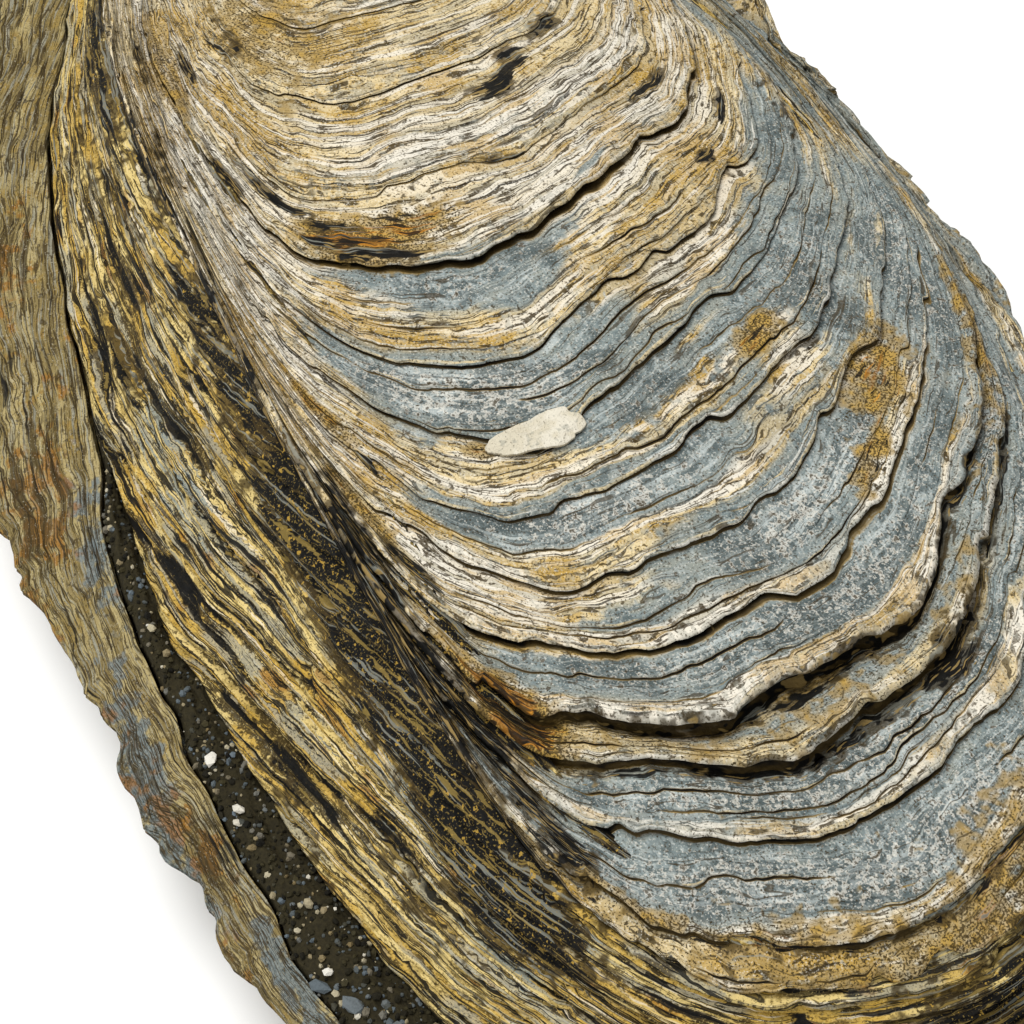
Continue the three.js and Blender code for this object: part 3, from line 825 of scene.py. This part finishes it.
# Many grains joined in one mesh: one twelve-cornered solid, stretched, turned and dented for each grain
def grainPiece(name, centres, halves, tones, random, material):
    golden = (1 + math.sqrt(5)) / 2
    corners = np.array([(-1, golden, 0), (1, golden, 0), (-1, -golden, 0), (1, -golden, 0),
                        (0, -1, golden), (0, 1, golden), (0, -1, -golden), (0, 1, -golden),
                        (golden, 0, -1), (golden, 0, 1), (-golden, 0, -1), (-golden, 0, 1)])
    corners = corners / np.linalg.norm(corners[0])
    near = np.linalg.norm(corners[:, None] - corners[None], axis=-1) < 1.2
    faces = [(i, j, k) for i in range(12) for j in range(i + 1, 12) for k in range(j + 1, 12)
             if near[i, j] and near[j, k] and near[i, k]]
    faces = np.array([f if np.dot(np.cross(corners[f[1]] - corners[f[0]], corners[f[2]] - corners[f[0]]),
                                  corners[f[0]]) > 0 else f[::-1] for f in faces])
    count = len(centres)
    dented = corners[None] * random.uniform(0.72, 1.12, (count, 12, 1)) * halves[:, None, :]
    spin = random.uniform(0, fullTurn, count)
    tilt = random.uniform(-0.5, 0.5, count)
    x, y, z = dented[..., 0], dented[..., 1], dented[..., 2]
    y, z = (y * np.cos(tilt)[:, None] - z * np.sin(tilt)[:, None],
            y * np.sin(tilt)[:, None] + z * np.cos(tilt)[:, None])
    x, y = (x * np.cos(spin)[:, None] - y * np.sin(spin)[:, None],
            x * np.sin(spin)[:, None] + y * np.cos(spin)[:, None])
    places = (joined(x, y, z) + centres[:, None]).reshape(-1, 3) - [*shell["middle"], 0]
    triangles = (faces[None] + 12 * np.arange(count)[:, None, None]).reshape(-1, 3)
    mesh = bpy.data.meshes.new(name)
    mesh.from_pydata((places * metresPerMm).tolist(), [], triangles.tolist())
    addVectors(mesh, "grain", np.repeat(joined(1, tones, random.uniform(0, 1, count)), 12, axis=0))
    mesh.shade_flat()
    addPiece(name, mesh, material)


# Grains lie where the strip is wide: angles are picked by its running width. The pebbles are placed one by one
def scatterGrains(material):
    random = np.random.default_rng(sediment["seed"] + 5)
    count = sediment["grains"]
    fine, fineTurn, perimeter = evenColumns(shell["crownReach"], 4000)
    width = flangeStart(fine) - footOf(fine)
    pick = np.searchsorted(np.cumsum(width) / width.sum(), random.uniform(0, 1, count))
    share = random.uniform(0.0, 1.04, count)
    size = random.uniform(*sediment["grainSize"], count) * random.choice([0.7, 1, 1.5], count)
    centres = joined(*stripPoint(fine[pick], share), bedHeight(fineTurn[pick], share, perimeter) + 0.25 * size)
    halves = size[:, None] * random.uniform(0.7, 1.25, (count, 3))
    grainPiece("sand_grains", centres, halves, random.beta(0.8, 2.2, count), random, material)
    angle, share, halves, tones = map(np.array, zip(*sediment["pebbles"]))
    angle = np.radians(angle)
    turn = np.interp(angle, fine, fineTurn)
    centres = joined(*stripPoint(angle, share), bedHeight(turn, share, perimeter) + 0.3)
    grainPiece("pebbles_and_chips", centres, halves, tones, random, material)


# Shell materials: weathered layered calcite, nearly matt, rougher or smoother in flecks.
# Patterns in real mm: what they follow (the layers, or the plain place), length along the layers, width across
# them, detail and roughness of the noise. Calcite laminae of 0.1 mm are coarsened to 0.3 mm
shellPatterns = {
    "bands": ("layers", 26, 2.4, 2, 0.5),        # groups of layers that took up the same stain
    "laminae": ("layers", 9, 0.4, 2, 0.6),       # single layers, cut across by the worn surface
    "splinters": ("layers", 5, 0.3, 2, 0.6),     # ends of layers that split off
    "streaks": ("layers", 6, 0.8, 3, 0.66),      # dirt that settled along the layers
    "hairs": ("layers", 14, 0.9, 1, 0.6),        # its middle value draws the cracks between layers
    "gaps": ("layers", 3.2, 1.2, 1, 0.6),        # breaks the cracks into lengths
    "dashes": ("layers", 1.7, 0.24, 1, 0.6),     # short open joints between laminae
    "feathers": ("layers", 0.5, 1.3, 1, 0.7),    # prisms of calcite that stand across the layers
    "mottle": ("layers", 1.1, 0.45, 3, 0.68),    # crumbs of one layer left on the next
    "flecks": ("place", 0.55, 0.55, 2, 0.68),
    "grit": ("place", 0.16, 0.16, 1, 0.6),       # the crystals' own grain
    "clots": ("place", 1.8, 1.8, 2, 0.7),
    "blotches": ("place", 5, 5, 1, 0.6),
}
patternShift = 31                    # keeps each pattern's noise clear of the others'
mineralGloss = 0.12                  # specular level: old weathered stone, nearly matt
# Sheets: the layers' coordinate is cut in lengths, each a sheet that rises to its lip and then drops. Spacing
# in mm, the pattern that bends the sheets and by how many sheets, and the length in mm over which a sheet keeps
# its tone
shellSheets = {"sheet": (1.1, "bands", 2.2, 16), "leaf": (0.42, "hairs", 2, 8)}
crownLook = {
    "stretch": 1,                    # how much longer the patterns run along the layers than in the table
    "colours": {"cream": "#C9B68B", "tan": "#957D4A", "ochre": "#AC8A3C", "pale": "#D6D1C4", "grey": "#84857A",
                "blueDark": "#424C4C", "blue": "#717D7D", "blueLight": "#A9B1AF", "rust": "#86581A",
                "orange": "#BD7B1C", "brown": "#362B14", "black": "#090907"},
    # Coats in the order they lie: colour, pattern that breaks the coat up, mark that calls for it, weight of
    # that mark, the two levels of pattern plus weighted mark between which it sets in, and its strength
    "coats": [
        ("tan", "blotches", None, 0, 0.5, 0.64, 0.5),
        ("tan", "clots", None, 0, 0.54, 0.64, 0.4),
        ("tan", "sheetTone", None, 0, 0.56, 0.62, 0.4),
        ("ochre", "flecks", "blotches", 0.8, 0.9, 0.98, 0.55),
        ("pale", "leafTone", "tone", 0.3, 0.68, 0.8, 0.65),
        ("pale", "bands", "tone", 0.5, 0.84, 0.96, 0.6),
        ("grey", "leafTone", None, 0, 0.4, 0.34, 0.4),
        ("ochre", "laminae", "blotches", 0.8, 0.96, 1.04, 0.6),
        ("brown", "dashes", None, 0, 0.57, 0.62, 0.9),
        ("brown", "leaf", "gaps", 0.6, 1.22, 1.27, 0.7),
        ("black", "sheet", "gaps", 0.5, 1.18, 1.22, 0.8),
        ("blue", "bands", "blue", 0.6, 0.76, 0.96, 0.85),
        ("blue", "clots", "blue", 0.5, 0.84, 1.0, 0.75),
        ("blueDark", "clots", "blue", 0.5, 0.96, 1.12, 0.7),
        ("blueDark", "blotches", "blue", 0.5, 0.98, 1.14, 0.5),
        ("grey", "laminae", "blue", 0.3, 0.82, 0.9, 0.5),
        ("blueLight", "feathers", "blue", 0.3, 0.8, 0.98, 0.55),
        ("blueLight", "laminae", "blue", 0.3, 0.82, 0.98, 0.7),
        ("blueDark", "splinters", "blue", 0.4, 0.96, 1.06, 0.6),
        ("blueDark", "blotches", "blue", 0.4, 0.89, 1.02, 0.5),
        ("pale", "flecks", "blue", 0.4, 0.97, 1.05, 0.5),
        ("cream", "splinters", "lip", 0.45, 0.84, 0.94, 0.8),
        ("pale", "laminae", "lip", 0.45, 0.86, 0.98, 0.75),
        ("grey", "feathers", "lip", 0.3, 0.66, 0.74, 0.4),
        ("brown", "flecks", None, 0, 0.6, 0.68, 0.8),
        ("brown", "grit", None, 0, 0.57, 0.7, 0.8),
        ("pale", "grit", None, 0, 0.4, 0.3, 0.5),
        ("tan", "clots", "rust", 0.5, 0.72, 0.84, 0.7),
        ("ochre", "clots", "rust", 0.5, 0.86, 1.0, 0.75),
        ("brown", "grit", "rust", 0.3, 0.72, 0.8, 0.85),
        ("rust", "streaks", "rust", 0.5, 0.98, 1.08, 0.8),
        ("orange", "splinters", "rust", 0.5, 1.06, 1.12, 0.7),
        ("brown", "splinters", "rust", 0.5, 1.12, 1.16, 0.9),
        ("brown", "streaks", "rust", 0.5, 1.08, 1.16, 0.9),
        ("black", "dashes", "rust", 0.5, 1.06, 1.1, 0.9),
        # Coats called by the crevice mark: dark dirt, and painted shade at the feet of the steps
        ("ochre", "streaks", "creviceDirtAndShade", 0.5, 0.74, 0.88, 0.7),
        ("brown", "gaps", "hairline", 1, 1.46, 1.54, 0.75),
        ("brown", "streaks", "creviceDirtAndShade", 0.8, 0.92, 1.12, 0.9),
        ("black", "streaks", "creviceDirtAndShade", 0.9, 1.22, 1.4, 0.97),
        ("brown", "clots", "black", 0.5, 0.84, 0.96, 0.8),
        ("black", "streaks", "black", 0.4, 0.88, 0.92, 0.97),
        ("black", "clots", "black", 0.4, 0.96, 0.99, 0.97),
        ("grey", "splinters", "black", 0.14, 0.74, 0.8, 0.6),
        ("tan", "dashes", "black", 0.2, 0.79, 0.84, 0.7),
    ],
    # Relief for the bump: pattern or mark, and its share of the height
    "relief": [("laminae", 0.45), ("flecks", 0.4), ("sheet", -0.45)],
    "roughness": (0.55, 0.85),
}
wallLook = dict(crownLook, stretch=1.7, roughness=(0.6, 0.9), colours=dict(
    crownLook["colours"], cream="#C6B072", tan="#87723A", ochre="#AC8A36"), coats=[
    ("ochre", "sheetTone", None, 0, 0.46, 0.56, 0.85),
    ("tan", "mottle", None, 0, 0.5, 0.58, 0.75),
    ("pale", "splinters", None, 0, 0.58, 0.65, 0.55),
    ("grey", "leafTone", None, 0, 0.45, 0.39, 0.7),
    ("blue", "laminae", "blue", 0.4, 0.72, 0.8, 0.8),
    ("brown", "streaks", None, 0, 0.56, 0.61, 0.8),
    ("ochre", "laminae", "blotches", 0.7, 0.96, 1.02, 0.8),
    ("rust", "streaks", "rust", 0.4, 0.88, 0.98, 0.8),
    ("rust", "gaps", "blotches", 0.8, 1.1, 1.18, 0.6),
    ("cream", "flecks", "lip", 0.4, 0.88, 1.0, 0.7),
    ("black", "dashes", None, 0, 0.57, 0.62, 0.92),
    ("brown", "mottle", None, 0, 0.41, 0.36, 0.8),
    # Coats called by the crevice mark: dark dirt, and painted shade in the grooves
    ("brown", "flecks", "creviceDirtAndShade", 0.5, 0.78, 0.92, 0.9),
    ("brown", "grit", None, 0, 0.57, 0.69, 0.8),
    ("cream", "grit", None, 0, 0.4, 0.3, 0.5),
    ("black", "leaf", "gaps", 0.6, 1.22, 1.27, 0.9),
    ("black", "sheet", "gaps", 0.6, 1.16, 1.21, 0.95),
    ("black", "gaps", "hairline", 1, 1.46, 1.52, 0.9),
    ("black", "streaks", "creviceDirtAndShade", 0.5, 0.92, 1.0, 0.97),
    ("brown", "clots", "black", 0.4, 0.74, 0.88, 0.88),
    ("brown", "flecks", "black", 0.3, 0.8, 0.86, 0.9),
    ("black", "streaks", "black", 0.3, 0.8, 0.83, 0.97),
    ("black", "splinters", "black", 0.3, 0.84, 0.88, 0.97),
    ("grey", "splinters", "black", -0.1, 0.3, 0.26, 0.6),
    ("ochre", "flecks", "black", -0.1, 0.25, 0.22, 0.7),
    ("tan", "dashes", "black", 0.1, 0.71, 0.75, 0.6),
    ("tan", "grit", "black", 0.1, 0.72, 0.8, 0.6),
])
lowerLook = dict(crownLook, stretch=1.3, roughness=(0.6, 0.9), relief=[
    ("laminae", 0.4), ("flecks", 0.4), ("sheet", -0.2)],
    colours=dict(crownLook["colours"], cream="#998A5E", tan="#71623A", ochre="#88723A", pale="#B8B19B",
                 blue="#667173"), coats=[
    ("tan", "sheetTone", None, 0, 0.42, 0.54, 0.85),
    ("ochre", "clots", None, 0, 0.5, 0.6, 0.7),
    ("grey", "splinters", None, 0, 0.54, 0.64, 0.7),
    ("blue", "clots", "blue", 0.4, 0.74, 0.86, 0.85),
    ("blueDark", "flecks", "blue", 0.4, 0.86, 0.98, 0.7),
    ("pale", "flecks", "lip", 0.3, 0.82, 0.92, 0.5),
    ("rust", "clots", "rust", 0.4, 0.8, 0.94, 0.7),
    ("brown", "streaks", "rust", 0.4, 0.82, 0.94, 0.75),
    ("brown", "dashes", None, 0, 0.54, 0.62, 0.85),
    ("brown", "leaf", "gaps", 0.6, 1.16, 1.22, 0.85),
    ("black", "sheet", "gaps", 0.4, 1.14, 1.18, 0.85),
    # Coat called by the crevice mark: dark dirt, and painted shade in the joints and the rim's edge
    ("brown", "gaps", "creviceDirtAndShade", 0.6, 0.9, 1.1, 0.85),
    ("brown", "flecks", None, 0, 0.58, 0.68, 0.8),
    ("brown", "grit", None, 0, 0.58, 0.7, 0.6),
    ("pale", "grit", None, 0, 0.36, 0.28, 0.4),
    ("black", "streaks", "black", 0.5, 0.86, 0.98, 0.9),
])
flakeLook = dict(crownLook, relief=[("clots", 0.6), ("grit", 0.3)],
                 colours=dict(crownLook["colours"], cream="#BDB5A0", pale="#CBC5B5"), coats=[
    ("pale", "clots", None, 0, 0.45, 0.6, 0.8),
    ("grey", "flecks", None, 0, 0.56, 0.68, 0.5),
    ("ochre", "blotches", None, 0, 0.56, 0.64, 0.4),
    ("brown", "grit", None, 0, 0.62, 0.74, 0.5),
])


# Shell material: every coat lies where its pattern plus its weighted mark rises between two levels
def shellMaterial(name, look):
    material, tree, shader = newMaterial(name)
    sockets = {}
    for attribute, labels in (("marks", ("lip", "creviceDirtAndShade", "tone")), ("stains", ("blue", "rust", "black"))):
        vector = addNode(tree, "Attribute", {"attribute_name": attribute}, None, "Vector")
        sockets.update(zip(labels, addNode(tree, "SeparateXYZ", None, {0: vector}).node.outputs))
    layers = addNode(tree, "Attribute", {"attribute_name": "flow"}, None, "Vector")
    place = addNode(tree, "TexCoord", None, None, "Object")
    place = addNode(tree, "VectorMath", {"operation": "SCALE"}, {0: place, "Scale": 1 / metresPerMm})
    waver = addNode(tree, "TexNoise", None, {"Vector": place, "Scale": 0.7, "Detail": 1.5})
    layers = addNode(tree, "VectorMath", {"operation": "MULTIPLY_ADD"}, {0: waver, 1: (0, 0, 0.35), 2: layers})
    for number, (label, (follows, along, across, detail, rough)) in enumerate(shellPatterns.items()):
        source, scale = place, (1 / along,) * 3
        if follows == "layers":
            source, scale = layers, (1 / along / look["stretch"], 1 / along / look["stretch"], 1 / across)
        vector = addNode(tree, "VectorMath", {"operation": "MULTIPLY_ADD"},
                         {0: source, 1: scale, 2: (0, 0, patternShift * number)})
        sockets[label] = addNode(tree, "TexNoise", None,
                                 {"Vector": vector, "Scale": 1, "Detail": detail, "Roughness": rough})
    sockets["hairline"] = addNode(tree, "Math", {"operation": "COMPARE"},
                                  {0: sockets["hairs"], 1: 0.5, 2: 0.012})
    alongX, alongY, across = addNode(tree, "SeparateXYZ", None, {0: layers}).node.outputs
    for label, (spacing, bend, sheets, length) in shellSheets.items():
        bent = addNode(tree, "Math", {"operation": "MULTIPLY"}, {0: sockets[bend], 1: -sheets})
        count = addNode(tree, "Math", {"operation": "MULTIPLY_ADD"}, {0: across, 1: -1 / spacing, 2: bent})
        sockets[label] = addNode(tree, "Math", {"operation": "FRACT"}, {0: count})
        whole = addNode(tree, "Math", {"operation": "FLOOR"}, {0: count})
        spot = addNode(tree, "CombineXYZ", None, {0: alongX, 1: alongY, 2: whole})
        spot = addNode(tree, "VectorMath", {"operation": "MULTIPLY"},
                       {0: spot, 1: (1 / length, 1 / length, 7.3)})
        sockets[label + "Tone"] = addNode(tree, "TexNoise", None, {"Vector": spot, "Scale": 1, "Detail": 0})
    colours = {label: linearColour(hexText) for label, hexText in look["colours"].items()}
    colour = colours["cream"]
    for label, pattern, mark, weight, low, high, strength in look["coats"]:
        level = sockets[pattern]
        if mark:
            level = addNode(tree, "Math", {"operation": "MULTIPLY_ADD"},
                            {0: sockets[mark], 1: weight, 2: level})
        share = addNode(tree, "MapRange", {"interpolation_type": "SMOOTHSTEP"},
                        {"Value": level, "From Min": low, "From Max": high, "To Max": strength})
        colour = addNode(tree, "Mix", {"data_type": "RGBA"}, {0: share, 6: colour, 7: colours[label]}, 2)
    tree.links.new(colour, shader.inputs["Base Color"])
    height = 0
    for label, share in look["relief"]:
        height = addNode(tree, "Math", {"operation": "MULTIPLY_ADD"}, {0: sockets[label], 1: share, 2: height})
    bump = addNode(tree, "Bump", None, {"Strength": 1, "Distance": 0.3 * metresPerMm, "Height": height})
    tree.links.new(bump, shader.inputs["Normal"])
    smooth, dull = look["roughness"]
    roughness = addNode(tree, "MapRange", None, {"Value": sockets["flecks"], "From Min": 0.3, "From Max": 0.7,
                                                 "To Min": smooth, "To Max": dull})
    tree.links.new(roughness, shader.inputs["Roughness"])
    shader.inputs["IOR"].default_value = 1.58  # calcite
    shader.inputs["Specular IOR Level"].default_value = mineralGloss
    return material


# Cemented sand: dark olive grit with pale, tan and blue-grey grains. Grains keep one colour each
sandTones = ((0.0, "#12110D"), (0.3, "#37321F"), (0.45, "#596369"), (0.6, "#6F6040"), (0.8, "#A39A80"),
             (1, "#CDC9BE"))
sandBed = ("#0E0D09", "#39331F")     # the fine grit between the grains, from dark to light
gritSize = 0.3                       # mm


def sandMaterial():  # grit noise between two colours, and a ramp of tones where a grain is
    material, tree, shader = newMaterial("cemented quartz sand")
    grain = addNode(tree, "Attribute", {"attribute_name": "grain"}, None, "Vector")
    isGrain, tone = addNode(tree, "SeparateXYZ", None, {0: grain}).node.outputs[:2]
    place = addNode(tree, "TexCoord", None, None, "Object")
    perMetre = 1 / (gritSize * metresPerMm)
    grit = addNode(tree, "TexNoise", None, {"Vector": place, "Scale": perMetre, "Detail": 4})
    dark, light = map(linearColour, sandBed)
    bed = addNode(tree, "Mix", {"data_type": "RGBA"}, {0: grit, 6: dark, 7: light}, 2)
    ramp = addNode(tree, "ValToRGB", None, {0: tone})
    for spot, _ in sandTones[1:-1]:
        ramp.node.color_ramp.elements.new(spot)
    for element, (spot, hexText) in zip(ramp.node.color_ramp.elements, sandTones):
        element.position = spot
        element.color = linearColour(hexText)
    colour = addNode(tree, "Mix", {"data_type": "RGBA"}, {0: isGrain, 6: bed, 7: ramp}, 2)
    tree.links.new(colour, shader.inputs["Base Color"])
    bump = addNode(tree, "Bump", None, {"Strength": 0.8, "Distance": 0.2 * metresPerMm, "Height": grit})
    tree.links.new(bump, shader.inputs["Normal"])
    shader.inputs["Roughness"].default_value = 0.85
    shader.inputs["Specular IOR Level"].default_value = mineralGloss
    shader.inputs["IOR"].default_value = 1.54  # quartz
    return material


# Camera and light: the photograph's steep view over the ventral half, under broad soft light from above
stage = {
    "azimuth": 51, "elevation": 55, "distance": 240, "target": (17.77, -11.64, 32),
    "span": 70,                      # mm that the frame takes in at the target
    "sensor": 36, "clip": 10,        # sensor width and nearest distance seen, in mm
    "floor": "#F4F4F2", "floorHalf": 3000, "worldStrength": 0.45,
    # name, azimuth and elevation of the light, distance and size in mm, power in watts
    "lights": [("overhead softbox", 300, 72, 600, 420, 4.2), ("front fill", 20, 40, 700, 500, 1.3)],
}


def fromAngles(azimuth, elevation):  # unit direction towards an azimuth and elevation in degrees
    a, e = math.radians(azimuth), math.radians(elevation)
    return Vector((math.sin(a) * math.cos(e), -math.cos(a) * math.cos(e), math.sin(e)))


# Places a camera or lamp at a distance from the stage's target, looking at it
def aim(name, data, azimuth, elevation, distance):
    thing = addObject(name, data)
    direction = fromAngles(azimuth, elevation)
    thing.location = Vector(stage["target"]) * metresPerMm + direction * distance * metresPerMm
    thing.rotation_euler = (-direction).to_track_quat("-Z", "Y").to_euler()
    return thing


def buildStage():  # camera, lamps, even white surroundings and a sheet of paper under the shell
    scene = bpy.context.scene
    camera = bpy.data.cameras.new("camera")
    camera.sensor_width = stage["sensor"]
    camera.lens = stage["sensor"] * stage["distance"] / stage["span"]
    camera.clip_start = stage["clip"] * metresPerMm
    scene.camera = aim("camera", camera, stage["azimuth"], stage["elevation"], stage["distance"])
    for name, azimuth, elevation, distance, size, power in stage["lights"]:
        light = bpy.data.lights.new(name, "AREA")
        light.energy = power
        light.size = size * metresPerMm
        aim(name, light, azimuth, elevation, distance)
    scene.world = bpy.data.worlds.new("studio")
    scene.world.use_nodes = True
    background = scene.world.node_tree.nodes["Background"]
    background.inputs["Color"].default_value = (1, 1, 1, 1)
    background.inputs["Strength"].default_value = stage["worldStrength"]
    scene.view_settings.view_transform = "Standard"
    half = stage["floorHalf"] * metresPerMm
    mesh = bpy.data.meshes.new("floor")
    corners = [(-half, -half, 0), (half, -half, 0), (half, half, 0), (-half, half, 0)]
    mesh.from_pydata(corners, [], [(0, 1, 2, 3)])
    floor = addObject("floor", mesh)
    paper, _, shader = newMaterial("matte white paper")
    shader.inputs["Base Color"].default_value = linearColour(stage["floor"])
    shader.inputs["Roughness"].default_value = 0.9
    mesh.materials.append(paper)


buildStage()
print("stage ready")
crownStone = shellMaterial("weathered layered calcite", crownLook)
wallStone = shellMaterial("split calcite layer edges", wallLook)
lowerStone = shellMaterial("stained worn calcite", lowerLook)
flakeStone = shellMaterial("bleached calcite flake", flakeLook)
sand = sandMaterial()
crownPoints = [crownPiece(*piece, crownStone) for piece in crown["pieces"]]
flakePiece(crownPoints[1], flakeStone)
print("crown ready")
wallPiece(wallStone)
lowerPiece(lowerStone)
sedimentPiece(sand)
scatterGrains(sand)
print("shell ready")
